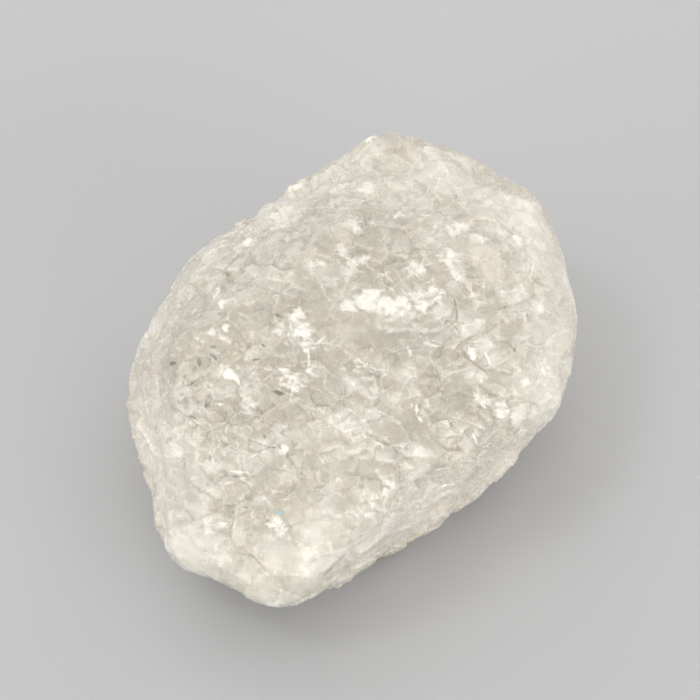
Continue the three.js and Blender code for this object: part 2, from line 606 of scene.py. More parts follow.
@dataclass(frozen=True)
class MilkyQuartzFinish:
    """Clear quartz with a milky body, snow white where it is shattered, with painted light, shade,
    glints and dark reflections on its colour.
    """

    coarse: ShardLayer
    medium: ShardLayer
    fine: ShardLayer
    crumbs: ShardLayer
    dull: Colour = (0.60, 0.553, 0.465, 1.0)
    cool: Colour = (0.585, 0.565, 0.49, 1.0)
    bright: Colour = (0.885, 0.845, 0.75, 1.0)
    snow: Colour = (0.675, 0.668, 0.628, 1.0)
    rust: Colour = (0.84, 0.56, 0.34, 1.0)
    painted_teal_glint: Colour = (0.42, 0.64, 0.70, 1.0)
    # Colour of the painted dark reflections and painted dark specks.
    painted_dark_reflection: Colour = (0.26, 0.25, 0.21, 1.0)
    ior: float = 1.544
    clearness: float = 0.5
    milkiness: float = 0.7
    milk_radius: tuple[float, float, float] = (1.0, 0.98, 0.93)
    milk_depth: float = 2.0 * MM
    snow_depth: float = 0.8 * MM
    speckle: Noise = Noise(900.0, 3.0)
    patch: Noise = Noise(300.0, 4.0)
    bump_strength: float = 0.2
    bump_depth: float = 0.1 * MM
    gloss: float = 0.13
    dulling: float = 0.25
    dulled: Window = (0.4, 0.7)
    crust_roughness: float = 0.3
    crust_cooling: float = 0.5
    coarse_tone: float = 0.14
    medium_tone: float = 0.33
    fine_tone: float = 0.42
    tone_calming: float = 0.5
    tone_edge: Window = (-0.06, 1.06)
    # How far painted light lightens the tone at the pale spots.
    painted_light_shift: float = 0.25
    # How far painted shade darkens the tone at the clear spots.
    painted_shade_shift: float = 0.5
    hue_shuffle: float = 17.0
    painted_dark_speck_darkness: float = 0.6
    painted_dark_speck_edge: Window = (0.62, 0.66)
    veil_patches: float = 0.25
    veil_edge: Window = (0.45, 0.75)
    painted_light_veil: float = 0.3
    painted_glint_whiteness: float = 0.9
    stroke_taper: float = 0.8
    stroke_raggedness: float = 3.0
    stroke_edge: Window = (0.8, 1.1)
    frost: Frost = Frost()
    breaks: Breaks = Breaks()
    coarse_breaks: float = 0.6

    def build(self) -> bpy.types.Material:
        """Build the material.

        Returns:
            The material, which reads the numbers that the mesh keeps.
        """
        material = bpy.data.materials.new("milky_quartz")
        material.use_nodes = True
        tree = Tree(material.node_tree)
        place = Grain().squeeze(tree, self.attribute(tree, "before", "Vector"))
        layers = (self.coarse, self.medium, self.fine, self.crumbs)
        coarse, medium, fine, crumbs = (layer.shards(tree, place) for layer in layers)
        speckle = self.speckle.field(tree, place)
        patch = self.patch.field(tree, place)
        smooth = self.attribute(tree, "smooth")
        tone = self.coarse_tone * coarse.chance + self.medium_tone * medium.chance
        tone = tone + self.fine_tone * fine.chance
        tone = tone - (self.coarse_tone + self.medium_tone + self.fine_tone) / 2
        tone = 0.5 + tone * (1.0 - self.tone_calming * smooth)
        shared = {
            "IOR": self.ior,
            "Subsurface Weight": self.milkiness,
            "Subsurface Radius": self.milk_radius,
            "Normal": tree.node(
                "ShaderNodeBump",
                {},
                {"Strength": self.bump_strength, "Distance": self.bump_depth, "Height": speckle},
            ),
        }
        body = tree.node(
            "ShaderNodeBsdfPrincipled",
            {},
            {
                "Base Color": self.tint(tree, tone, medium, speckle),
                "Roughness": self.gloss + self.dulling * tree.ramp(speckle, *self.dulled),
                "Transmission Weight": self.clearness,
                "Subsurface Scale": self.milk_depth,
                **shared,
            },
        )
        crumb_colour = tree.blend(self.crust_cooling * crumbs.chance, self.snow, self.cool)
        crust = tree.node(
            "ShaderNodeBsdfPrincipled",
            {},
            {
                "Base Color": tree.blend(self.attribute(tree, "rust"), crumb_colour, self.rust),
                "Roughness": self.crust_roughness,
                "Subsurface Scale": self.snow_depth,
                **shared,
            },
        )
        # The veil is partly random milky patches and partly painted light: white crust at the pale
        # spots.
        veil_and_painted_light = self.veil_patches * tree.ramp(patch, *self.veil_edge)
        veil_and_painted_light = veil_and_painted_light + self.painted_light_veil * self.attribute(tree, "pale")
        breaks = tree.larger(
            self.coarse_breaks * self.breaks.share(tree, coarse, patch, speckle),
            self.breaks.share(tree, medium, patch, speckle),
        )
        breaks = tree.larger(breaks, self.breaks.share(tree, fine, patch, speckle))
        frost = self.frost.share(
            tree,
            place,
            self.attribute(tree, "snow"),
            smooth,
            (fine.chance, crumbs.chance, speckle),
        )
        white = tree.larger(frost, veil_and_painted_light + breaks * (1.0 - smooth))
        # Painted glints: white crust along the glint strokes.
        white = tree.larger(white, self.painted_glint_whiteness * self.stroke(tree, "painted_glints", speckle))
        surface = tree.node("ShaderNodeMixShader", {}, {0: white, 1: body, 2: crust})
        tree.node("ShaderNodeOutputMaterial", {}, {"Surface": surface})
        return material

    def tint(self, tree: Tree, tone: Field, shards: Shards, speckle: Field) -> Field:
        """Colour the body: one tone a shard, with the stains, painted light and shade at given
        spots, painted dark reflections and painted rainbow glints.

        Args:
            tree: The material's node tree.
            tone: How light the shard is, from 0 to 1.
            shards: The layer whose shards are each warm or cool.
            speckle: Fine noise.

        Returns:
            The colour.
        """
        # Painted light: the tone is lightened at the pale spots.
        shift = self.painted_light_shift * self.attribute(tree, "pale")
        # Painted shade: the tone is darkened at the clear spots.
        shift = shift - self.painted_shade_shift * self.attribute(tree, "clear")
        hue = tree.node(
            "ShaderNodeMath", {"operation": "FRACT"}, {0: self.hue_shuffle * shards.chance}
        )
        dull = tree.blend(hue, self.dull, self.cool)
        colour = tree.blend(tree.ramp(tone + shift, *self.tone_edge), dull, self.bright)
        colour = tree.blend(self.attribute(tree, "rust"), colour, self.rust)
        # Painted rainbow glints in teal and in the rust colour, and the painted dark reflections
        # along the marks.
        for name, paint in (("painted_teal_glint", self.painted_teal_glint), ("painted_amber_glint", self.rust), ("marks", self.painted_dark_reflection)):
            colour = tree.blend(self.stroke(tree, name, speckle), colour, paint)
        # Painted dark specks: fine flecks darkened where the dark floor shows through the stone.
        painted_dark_specks = self.attribute(tree, "painted_dark_specks") * tree.ramp(speckle, *self.painted_dark_speck_edge)
        return tree.blend(self.painted_dark_speck_darkness * painted_dark_specks, colour, self.painted_dark_reflection)

    def stroke(self, tree: Tree, name: str, speckle: Field) -> Field:
        """Show the thin marks of one kind: pointed at both ends, with ragged sides.

        Args:
            tree: The material's node tree.
            name: The kind, as the mesh keeps it.
            speckle: Fine noise.

        Returns:
            1 on a mark and 0 off it.
        """
        place = self.attribute(tree, name, "Vector")
        across, reach = (
            tree.node("ShaderNodeSeparateXYZ", {}, {"Vector": place}, output=axis) for axis in "XY"
        )
        side = tree.node("ShaderNodeMath", {"operation": "ABSOLUTE"}, {0: across})
        away = side + self.stroke_taper * reach * reach
        away = away + self.stroke_raggedness * (speckle - 0.5)
        return 1.0 - tree.ramp(away, *self.stroke_edge)

    def attribute(self, tree: Tree, name: str, output: str = "Fac") -> Field:
        """Read one of the numbers that the mesh keeps."""
        return tree.node("ShaderNodeAttribute", {"attribute_name": name}, {}, output=output)


# ---- The lump ---------------------------------------------------------------------------------


@dataclass
class QuartzLump:
    """The whole lump, which stands for the solid of the same name."""

    viewpoint: Viewpoint
    node: str = "quartz"
    same_place: float = 0.001 * MM
    parts: int = 3
    softening: int = 12
    wear: int = 1
    block_softening: int = 2
    crust_rise: float = 0.25 * MM
    swelling: float = 1.0 * MM
    coarse_on_calm: float = 0.15
    fine_on_calm: float = 0.1
    medium_least: float = 0.5
    medium_broken: float = 0.8
    fine_broken: float = 1.3
    fine_lack: float = 0.2
    relief_drop: float = 0.6
    triangles: int = 190000
    smooth_edge: float = 24.0
    spot_top: float = 1.3
    far: float = 9.0
    coarse: ShardLayer = ShardLayer("coarse", 3.2 * MM, 0.56 * MM, 40.0, 20.0, (1.3, 0.8, 1.0))
    medium: ShardLayer = ShardLayer("medium", 1.9 * MM, 0.32 * MM, 50.0, -25.0, (1.25, 0.8, 1.0))
    fine: ShardLayer = ShardLayer("fine", 1.0 * MM, 0.175 * MM, 60.0, 50.0, (1.3, 0.8, 1.0))
    crumbs: ShardLayer = ShardLayer("crumbs", 0.5 * MM, 0.1 * MM, 70.0, 10.0, (2.0, 0.7, 1.0), 0.8)
    breakage: Cloud = Cloud(7.0 * MM, 51)
    # Shattered spots, where white crumbs gather and the crust rises. upper_left_glint, left_glint,
    # near_glint and right_glint among them are painted glints: small bright highlights made into
    # white crust.
    snow: tuple[Spot, ...] = (
        Spot("brow_left", 350, 307, 0.9 * MM, 1.1),
        Spot("brow", 368, 301, 1.5 * MM, 1.25),
        Spot("brow_middle", 385, 306, 1.3 * MM, 1.15),
        Spot("brow_right", 402, 307, 1.2 * MM, 1.15),
        Spot("brow_far", 419, 302, 1.1 * MM, 1.05),
        Spot("brow_end", 434, 294, 1.0 * MM),
        Spot("near_step", 298, 315, 1.1 * MM, 0.9),
        Spot("near_step_middle", 302, 330, 1.1 * MM),
        Spot("near_step_foot", 308, 346, 0.9 * MM, 0.9),
        Spot("heap", 293, 383, 1.2 * MM),
        Spot("heap_top", 285, 371, 0.7 * MM, 0.8),
        Spot("crown_left", 340, 252, 1.0 * MM, 0.8),
        Spot("crown_left_low", 351, 267, 1.2 * MM, 0.8),
        Spot("crown_left_end", 364, 258, 0.8 * MM, 0.9),
        Spot("crown_near", 316, 264, 0.8 * MM, 0.8),
        Spot("crown_near_low", 311, 276, 0.7 * MM, 0.8),
        Spot("crown_right", 445, 257, 1.4 * MM, 0.8),
        Spot("crown_right_low", 455, 273, 1.2 * MM, 0.9),
        Spot("crown_right_end", 473, 287, 1.1 * MM, 0.7),
        Spot("crown_low", 417, 268, 0.9 * MM, 0.8),
        Spot("crown_far", 437, 227, 0.8 * MM, 0.8),
        Spot("crown_far_right", 453, 230, 1.1 * MM),
        Spot("shoulder", 479, 238, 1.2 * MM),
        Spot("shoulder_right", 518, 240, 1.0 * MM),
        Spot("far_plate", 403, 213, 1.2 * MM, 0.8),
        Spot("far_left", 367, 190, 1.1 * MM),
        Spot("far_low", 354, 227, 0.9 * MM, 0.7),
        Spot("left_plate", 280, 230, 1.1 * MM, 0.8),
        Spot("left_edge", 250, 243, 0.9 * MM, 0.8),
        Spot("left_edge_near", 222, 243, 0.7 * MM, 0.7),
        Spot("upper_left_glint", 223, 303, 0.5 * MM, 0.9),
        Spot("left_glint", 226, 328, 0.5 * MM, 0.8),
        Spot("left_heap", 230, 373, 0.9 * MM, 0.9),
        Spot("near_glint", 286, 448, 0.6 * MM, 0.9),
        Spot("right_low", 503, 410, 1.0 * MM, 0.9),
        Spot("right_low_middle", 517, 417, 1.1 * MM),
        Spot("right_low_far", 534, 410, 1.1 * MM, 0.8),
        Spot("right_wedge", 481, 400, 1.0 * MM, 0.9),
        Spot("right_glint", 525, 382, 0.5 * MM, 0.8),
        Spot("right_middle", 471, 352, 0.8 * MM, 0.9),
        Spot("right_edge", 522, 315, 1.0 * MM, 0.8),
        Spot("right_edge_far", 538, 308, 0.7 * MM, 0.7),
        Spot("right_rim", 548, 347, 0.9 * MM, 0.7),
        Spot("toe", 281, 527, 1.3 * MM, 0.9),
        Spot("front_left", 334, 517, 1.3 * MM, 0.7),
        Spot("front_left_low", 328, 534, 1.2 * MM, 0.6),
        Spot("front", 388, 488, 1.1 * MM, 0.8),
        Spot("front_step", 372, 442, 0.9 * MM, 0.6),
        Spot("middle", 374, 352, 0.9 * MM, 0.5),
        Spot("middle_low", 362, 368, 1.1 * MM, 0.7),
        Spot("toe_left", 172, 512, 1.6 * MM, 0.7),
        Spot("toe_left_low", 185, 542, 1.9 * MM, 0.7),
        Spot("toe_ridge", 218, 561, 1.0 * MM, 0.8),
        Spot("left_low", 165, 477, 1.2 * MM, 0.7),
        Spot("rim_top", 370, 147, 0.8 * MM),
        Spot("rim_left", 336, 187, 1.1 * MM),
        Spot("rim_left_low", 296, 188, 1.1 * MM, 0.9),
        Spot("rim_right", 535, 207, 1.3 * MM, 0.9),
        Spot("left_rim", 143, 405, 0.9 * MM, 0.7),
        Spot("sugary_toe", 200, 520, 4.0 * MM, 0.35),
        Spot("sugary_toe_right", 300, 560, 4.0 * MM, 0.3),
        Spot("sugary_left", 225, 470, 5.0 * MM, 0.3),
        Spot("sugary_front", 265, 505, 3.5 * MM, 0.3),
        Spot("sugary_far_left", 190, 400, 3.0 * MM, 0.3),
        Spot("sugary_crown", 450, 230, 4.0 * MM, 0.3),
        Spot("sugary_crown_left", 335, 260, 3.5 * MM, 0.3),
        Spot("sugary_right", 500, 385, 3.0 * MM, 0.35),
        Spot("sugary_middle", 345, 365, 3.0 * MM, 0.3),
        Spot("sugary_far", 290, 215, 3.0 * MM, 0.3),
        Spot("sugary_left_low", 168, 462, 3.0 * MM, 0.45),
    )
    rust: tuple[Spot, ...] = (
        Spot("iron_stain", 545, 213, 0.9 * MM),
        Spot("iron_edge", 520, 190, 0.5 * MM, 0.5),
        Spot("iron_trail", 556, 245, 1.6 * MM, 0.3),
        Spot("iron_left", 171, 298, 0.7 * MM, 0.25),
        Spot("warm_left_upper", 160, 340, 4.0 * MM, 0.05),
        Spot("warm_left", 135, 400, 4.5 * MM, 0.05),
        Spot("warm_left_low", 145, 460, 4.0 * MM, 0.05),
        Spot("warm_front", 425, 520, 4.5 * MM, 0.06),
        Spot("warm_front_right", 500, 465, 4.0 * MM, 0.06),
    )
    calm: tuple[Spot, ...] = (
        Spot("right_face_top", 552, 236, 5.0 * MM, 0.7),
        Spot("right_face", 562, 280, 5.0 * MM, 0.75),
        Spot("right_face_low", 570, 335, 4.5 * MM, 0.75),
        Spot("right_foot", 560, 390, 3.0 * MM, 0.7),
        Spot("front_rim", 520, 440, 3.0 * MM, 0.5),
        Spot("front_rim_middle", 482, 480, 3.0 * MM, 0.5),
        Spot("front_rim_left", 435, 515, 3.0 * MM, 0.4),
        Spot("front_rim_low", 380, 545, 2.6 * MM, 0.4),
        Spot("toe_rim", 235, 588, 2.0 * MM, 0.6),
        Spot("toe_rim_left", 200, 562, 2.0 * MM, 0.6),
        Spot("toe_rim_right", 265, 598, 2.0 * MM, 0.5),
        Spot("toe_plate", 280, 548, 1.6 * MM, 0.8),
        Spot("milky_front", 320, 520, 2.0 * MM, 0.6),
        Spot("milky_left", 185, 535, 2.0 * MM, 0.6),
        Spot("left_rim", 133, 380, 1.8 * MM, 0.8),
        Spot("brow_wall", 348, 327, 1.5 * MM, 0.8),
        Spot("brow_wall_middle", 376, 328, 1.5 * MM, 0.8),
        Spot("brow_wall_end", 404, 326, 1.3 * MM, 0.7),
    )
    # Painted dark reflections: small dark strokes where the dark floor shows through the stone,
    # mostly on the left. The crack stroke follows a real crack near the toe, which shows dark in
    # the same way.
    marks: tuple[Stroke, ...] = (
        Stroke("upper", 208, 347, 219, 346, 0.54 * MM),
        Stroke("line", 209, 353, 220, 361, 0.36 * MM),
        Stroke("wedge", 199, 358, 200, 367, 0.54 * MM),
        Stroke("dot", 171, 364, 176, 363, 0.48 * MM),
        Stroke("bar", 247, 361, 262, 359, 0.30 * MM),
        Stroke("bar_tick", 261, 344, 266, 349, 0.30 * MM),
        Stroke("upper_dot", 235, 341, 239, 343, 0.42 * MM),
        Stroke("hook", 187, 386, 194, 383, 0.30 * MM),
        Stroke("hook_top", 183, 377, 188, 374, 0.24 * MM),
        Stroke("largest", 204, 396, 214, 398, 0.71 * MM),
        Stroke("largest_foot", 211, 396, 206, 407, 0.71 * MM),
        Stroke("low_bar", 188, 416, 198, 419, 0.36 * MM),
        Stroke("middle", 272, 391, 286, 395, 0.54 * MM),
        Stroke("brow_end", 274, 315, 283, 318, 0.36 * MM),
        Stroke("left_low", 167, 443, 172, 438, 0.48 * MM),
        Stroke("left_lower", 209, 451, 213, 451, 0.30 * MM),
        Stroke("left_lowest", 210, 461, 212, 455, 0.30 * MM),
        Stroke("low_line", 233, 476, 244, 477, 0.36 * MM),
        Stroke("lower", 207, 483, 212, 485, 0.48 * MM),
        Stroke("centre_low", 267, 448, 277, 447, 0.36 * MM),
        Stroke("centre_soft", 264, 434, 268, 441, 0.42 * MM),
        Stroke("toe_top", 243, 507, 250, 508, 0.30 * MM),
        Stroke("toe", 227, 545, 233, 546, 0.30 * MM),
        Stroke("crack", 318, 578, 346, 549, 0.38 * MM),
        Stroke("right_dot", 501, 447, 504, 447, 0.36 * MM),
        Stroke("front_dot", 395, 500, 398, 500, 0.36 * MM),
        Stroke("middle_dot", 339, 404, 342, 404, 0.36 * MM),
    )
    # Painted glints: thin white strokes of crust where small bright highlights fall.
    painted_glints: tuple[Stroke, ...] = (
        Stroke("tall_top", 417, 402, 416, 416, 0.45 * MM),
        Stroke("tall_foot", 416, 414, 422, 423, 0.3 * MM),
        Stroke("right_glint", 519, 380, 531, 384, 0.5 * MM),
        Stroke("right_square", 467, 352, 474, 354, 0.8 * MM),
        Stroke("right_wedge", 474, 394, 485, 407, 0.7 * MM),
        Stroke("right_line", 484, 349, 490, 365, 0.35 * MM),
        Stroke("under_brow", 444, 316, 443, 326, 0.3 * MM),
        Stroke("middle_arc", 407, 344, 410, 357, 0.3 * MM),
        Stroke("low_right", 472, 433, 477, 444, 0.4 * MM),
        Stroke("low_right_far", 491, 441, 483, 448, 0.35 * MM),
        Stroke("low_middle", 380, 443, 383, 450, 0.45 * MM),
        Stroke("fan", 424, 343, 438, 347, 0.3 * MM),
        Stroke("left_glint", 224, 325, 227, 333, 0.7 * MM),
        Stroke("near_glint", 282, 447, 290, 448, 1.0 * MM),
        Stroke("left_heap", 227, 366, 241, 386, 0.5 * MM),
        Stroke("left_cross", 239, 412, 254, 413, 0.22 * MM),
        Stroke("spike", 326, 336, 315, 345, 0.3 * MM),
        Stroke("hanging", 308, 348, 309, 364, 0.4 * MM),
        Stroke("hanging_foot", 307, 371, 313, 369, 0.5 * MM),
        Stroke("low_wisp", 232, 471, 250, 473, 0.25 * MM),
        Stroke("left_tick", 217, 404, 224, 405, 0.3 * MM),
        Stroke("far_left_line", 213, 300, 219, 287, 0.3 * MM),
        Stroke("far_left_glint", 221, 300, 223, 309, 0.6 * MM),
    )
    # Painted rainbow glints near the toe, light split inside a crack: teal strokes here, and amber
    # strokes in the next list, painted in the rust colour.
    painted_teal_glint: tuple[Stroke, ...] = (
        Stroke("glint_left", 276, 514, 283, 509, 0.15 * MM),
        Stroke("glint_right", 280, 516, 286, 511, 0.15 * MM),
    )
    painted_amber_glint: tuple[Stroke, ...] = (
        Stroke("glint", 266, 516, 270, 519, 0.2 * MM),
        Stroke("glint_side", 272, 517, 275, 514, 0.12 * MM),
    )
    # Painted dark specks: patches, mostly on the left and at the toe, where fine flecks of the body
    # are darkened, standing in for the dark floor seen through the stone.
    painted_dark_specks: tuple[Spot, ...] = (
        Spot("left_low", 218, 455, 3.5 * MM),
        Spot("left_middle", 192, 405, 2.5 * MM, 0.9),
        Spot("left_upper", 195, 375, 2.0 * MM, 0.8),
        Spot("toe_top", 250, 500, 2.5 * MM, 0.9),
        Spot("toe", 232, 542, 1.6 * MM),
        Spot("toe_left", 190, 505, 2.0 * MM, 0.8),
        Spot("toe_front", 315, 562, 1.6 * MM, 0.8),
    )
    swell: tuple[Spot, ...] = (
        Spot("crown", 393, 145, 3.5 * MM, 0.9),
        Spot("crown_right", 428, 152, 3.0 * MM, 0.7),
        Spot("right_face", 566, 320, 4.5 * MM, 0.9),
        Spot("right_face_top", 560, 275, 3.0 * MM, 0.5),
        Spot("right_foot", 555, 395, 3.0 * MM, 0.6),
        Spot("front_rim", 482, 482, 3.0 * MM, 0.7),
        Spot("front_rim_left", 447, 508, 2.5 * MM, 0.7),
        Spot("toe", 288, 595, 3.5 * MM),
        Spot("toe_left", 178, 552, 3.0 * MM, 0.6),
    )
    sink: tuple[Spot, ...] = (
        Spot("left_rim", 132, 405, 4.0 * MM, 0.9),
        Spot("left_rim_low", 143, 455, 4.0 * MM),
        Spot("back_rim", 180, 272, 3.5 * MM, 0.6),
        Spot("back_rim_right", 240, 232, 3.0 * MM, 0.4),
        Spot("far_rim", 325, 183, 3.0 * MM, 0.5),
        Spot("right_shoulder", 480, 175, 3.0 * MM, 0.5),
    )
    # Painted shade: spots where the body's colour is darkened, mostly in the middle of the lump,
    # under the brow and around the crown, standing in for shade and for the dark depth seen into
    # the stone. They only darken the colour; the stone is no clearer there.
    clear: tuple[Spot, ...] = (
        Spot("middle", 425, 345, 6.5 * MM, 1.15),
        Spot("upper_left", 300, 240, 5.0 * MM, 0.5),
        Spot("right_middle", 490, 345, 4.0 * MM),
        Spot("right_low", 460, 400, 4.0 * MM),
        Spot("low_middle", 400, 435, 4.5 * MM),
        Spot("centre", 350, 380, 5.0 * MM),
        Spot("left_low", 205, 410, 4.0 * MM),
        Spot("left_centre", 285, 400, 5.0 * MM),
        Spot("left_front", 210, 475, 5.0 * MM),
        Spot("front", 275, 505, 4.5 * MM),
        Spot("toe", 245, 565, 2.5 * MM, 0.6),
        Spot("toe_right", 290, 575, 3.0 * MM, 0.5),
        Spot("front_left", 330, 490, 4.0 * MM, 0.8),
        Spot("under_brow", 400, 320, 2.5 * MM),
        Spot("left_shoulder", 205, 350, 6.0 * MM),
        Spot("left_shade", 205, 362, 2.5 * MM, 1.3),
        Spot("crown_shade", 380, 280, 2.2 * MM, 1.1),
        Spot("right_shade", 440, 328, 2.8 * MM, 1.5),
        Spot("back_left_shade", 322, 203, 2.5 * MM, 0.7),
        Spot("toe_shade", 265, 520, 2.5 * MM, 0.5),
        Spot("left_middle", 290, 310, 5.5 * MM),
        Spot("crown", 390, 245, 5.0 * MM, 0.8),
        Spot("dull_corner", 400, 285, 1.0 * MM),
        Spot("dull_shard", 442, 376, 1.2 * MM),
        Spot("left_shadow", 318, 237, 0.8 * MM, 1.2),
    )
    # Painted light: spots where the body's colour is made paler and partly white crust, on the
    # rims, the crown and a few bright facets, where light falls on the stone or shines through its
    # thin edges.
    pale: tuple[Spot, ...] = (
        Spot("right_face", 565, 285, 4.0 * MM, 0.7),
        Spot("right_rim", 548, 375, 4.5 * MM),
        Spot("right_shoulder", 515, 215, 5.0 * MM, 0.8),
        Spot("front_rim", 505, 455, 4.0 * MM, 0.7),
        Spot("front_rim_left", 425, 505, 4.0 * MM, 0.9),
        Spot("front_rim_low", 365, 540, 3.5 * MM),
        Spot("toe", 280, 552, 2.0 * MM, 0.6),
        Spot("toe_left", 190, 555, 4.0 * MM),
        Spot("toe_right", 318, 565, 2.5 * MM),
        Spot("left", 142, 435, 4.0 * MM),
        Spot("left_low", 160, 480, 3.5 * MM),
        Spot("left_low_side", 172, 462, 3.5 * MM, 0.9),
        Spot("crown_light", 398, 205, 3.0 * MM, 0.5),
        Spot("crown_light_right", 445, 240, 2.5 * MM, 0.5),
        Spot("toe_light", 205, 560, 2.5 * MM, 0.8),
        Spot("centre_light", 365, 425, 3.0 * MM, 0.4),
        Spot("rim_top", 345, 170, 2.5 * MM, 0.7),
        Spot("rim_right", 455, 178, 4.0 * MM),
        Spot("rim_left", 284, 206, 3.5 * MM),
        Spot("rim_far_left", 195, 265, 3.5 * MM, 0.5),
        Spot("rim_left_top", 150, 330, 3.0 * MM, 0.5),
        Spot("light_shard", 415, 478, 1.2 * MM, 1.3),
        Spot("light_chip", 418, 452, 0.8 * MM, 1.3),
        Spot("light_right", 490, 348, 0.9 * MM, 0.8),
        Spot("light_middle", 407, 372, 0.8 * MM, 1.3),
        Spot("milky_front", 320, 520, 2.2 * MM, 0.8),
    )

    def build(self, frame: dict[str, Any]) -> bpy.types.Object:
        """Build, dress and place the lump.

        Args:
            frame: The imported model, as loaded.

        Returns:
            The finished piece.
        """
        lump = bpy.data.objects.new("quartz_lump", self.shape(frame["nodes"][self.node].data))
        bpy.context.scene.collection.objects.link(lump)
        lump.data.materials.clear()
        finish = MilkyQuartzFinish(self.coarse, self.medium, self.fine, self.crumbs)
        lump.data.materials.append(finish.build())
        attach(lump, "root")
        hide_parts(self.node)
        return lump

    def shape(self, solid: bpy.types.Mesh) -> bpy.types.Mesh:
        """Shape the broken surface, and keep what the finish needs to know of it.

        Args:
            solid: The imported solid.

        Returns:
            The lump's mesh.
        """
        mesh = self.fine_mesh(solid)
        points, normals = self.read(mesh)
        tree = BVHTree.FromPolygons(
            [Vector(point) for point in points], [face.vertices for face in mesh.polygons]
        )
        snow = self.spread(tree, points, self.snow)
        smooth = self.spread(tree, points, self.calm)
        relief = self.relief(mesh, points, snow, 1.0 - smooth)
        swell, sink = (self.spread(tree, points, spots) for spots in (self.swell, self.sink))
        relief += self.swelling * (swell - sink)
        moved = self.soften(points + normals * relief[:, None], self.corners(mesh), self.wear)
        self.settle(mesh, moved)
        kept = {"snow": snow, "smooth": smooth}
        for name, spots in (
            ("rust", self.rust),
            # clear: painted shade
            ("clear", self.clear),
            # pale: painted light
            ("pale", self.pale),
            ("painted_dark_specks", self.painted_dark_specks),
        ):
            kept[name] = self.spread(tree, points, spots)
        for name, strokes in (
            # marks: painted dark reflections
            ("marks", self.marks),
            ("painted_glints", self.painted_glints),
            ("painted_teal_glint", self.painted_teal_glint),
            ("painted_amber_glint", self.painted_amber_glint),
        ):
            kept[name] = self.lines(tree, points, strokes)
        kept["before"] = points
        for name, values in kept.items():
            self.keep(mesh, name, values)
        mesh = self.thin(mesh)
        self.settle(mesh, self.read(mesh)[0])
        mesh.shade_smooth()
        mesh.set_sharp_from_angle(angle=math.radians(self.smooth_edge))
        return mesh

    def relief(
        self, mesh: bpy.types.Mesh, points: np.ndarray, snow: np.ndarray, calm: np.ndarray
    ) -> np.ndarray:
        """Work out how far the broken surface stands out.

        Args:
            mesh: The finely parted mesh.
            points: Its points.
            snow: How near each point is to a shattered spot, or to a painted glint spot.
            calm: How far each point is from a smooth spot, down to 0 on it.

        Returns:
            One height a point, in metres.
        """
        broken = self.breakage.density(points)
        shown = self.fine_on_calm + (1.0 - self.fine_on_calm) * calm
        shares = {
            self.coarse: self.coarse_on_calm + (1.0 - self.coarse_on_calm) * calm,
            self.medium: shown * (self.medium_least + self.medium_broken * broken),
            self.fine: shown * np.maximum(self.fine_broken * broken - self.fine_lack, snow),
            self.crumbs: snow,
        }
        heights = Cutter(mesh).heights(tuple(shares))
        relief = sum(share * height for share, height in zip(shares.values(), heights, strict=True))
        return relief + (self.crust_rise * snow - self.relief_drop * relief.mean())

    def fine_mesh(self, solid: bpy.types.Mesh) -> bpy.types.Mesh:
        """Part the solid's triangles finely, with softened joints between them.

        Args:
            solid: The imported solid.

        Returns:
            The finely parted mesh.
        """
        work = bmesh.new()
        work.from_mesh(solid)
        bmesh.ops.remove_doubles(work, verts=work.verts[:], dist=self.same_place)
        work.verts.index_update()
        points = np.array([vertex.co for vertex in work.verts])
        faces = np.array([[vertex.index for vertex in face.verts] for face in work.faces])
        work.free()
        points = self.soften(points, faces, self.block_softening)
        for _ in range(self.parts):
            points, faces = self.halve(points, faces)
        points = self.soften(points, faces, self.softening)
        mesh = bpy.data.meshes.new("quartz_lump")
        mesh.from_pydata(points, [], faces)
        return mesh

    def halve(self, points: np.ndarray, faces: np.ndarray) -> tuple[np.ndarray, np.ndarray]:
        """Part each triangle in four at the middles of its edges.

        Args:
            points: The points.
            faces: Each triangle's three points, by number.

        Returns:
            The points and triangles after it.
        """
        edges = np.concatenate([faces[:, [0, 1]], faces[:, [1, 2]], faces[:, [2, 0]]])
        unique, inverse = np.unique(np.sort(edges, axis=1), axis=0, return_inverse=True)
        middles = len(points) + inverse.ravel().reshape(3, -1).T
        first, second, third = faces.T
        ab, bc, ca = middles.T
        parted = np.concatenate(
            [
                np.stack([first, ab, ca], axis=1),
                np.stack([ab, second, bc], axis=1),
                np.stack([ca, bc, third], axis=1),
                np.stack([ab, bc, ca], axis=1),
            ]
        )
        return np.concatenate([points, points[unique].mean(axis=1)]), parted

    def soften(self, points: np.ndarray, faces: np.ndarray, times: int) -> np.ndarray:
        """Move each point halfway to its neighbours' middle, some times over.

        Args:
            points: The points.
            faces: Each triangle's three points, by number.
            times: How many times.

        Returns:
            The moved points.
        """
        starts = np.concatenate([faces[:, 0], faces[:, 1], faces[:, 2]])
        ends = np.concatenate([faces[:, 1], faces[:, 2], faces[:, 0]])
        count = np.bincount(starts, minlength=len(points))[:, None]
        for _ in range(times):
            total = np.stack(
                [np.bincount(starts, points[ends, axis], len(points)) for axis in range(3)], axis=1
            )
            points = 0.5 * points + 0.5 * total / count
        return points

    def thin(self, mesh: bpy.types.Mesh) -> bpy.types.Mesh:
        """Take out the triangles that flat faces don't need.

        Args:
            mesh: The mesh, which is removed.

        Returns:
            The thinner mesh.
        """
        whole = bpy.data.objects.new("whole", mesh)
        bpy.context.scene.collection.objects.link(whole)
        thinner = whole.modifiers.new("thin", "DECIMATE")
        thinner.ratio = self.triangles / len(mesh.polygons)
        graph = bpy.context.evaluated_depsgraph_get()
        thinned = bpy.data.meshes.new_from_object(
            whole.evaluated_get(graph), preserve_all_data_layers=True, depsgraph=graph
        )
        bpy.data.objects.remove(whole)
        bpy.data.meshes.remove(mesh)
        return thinned

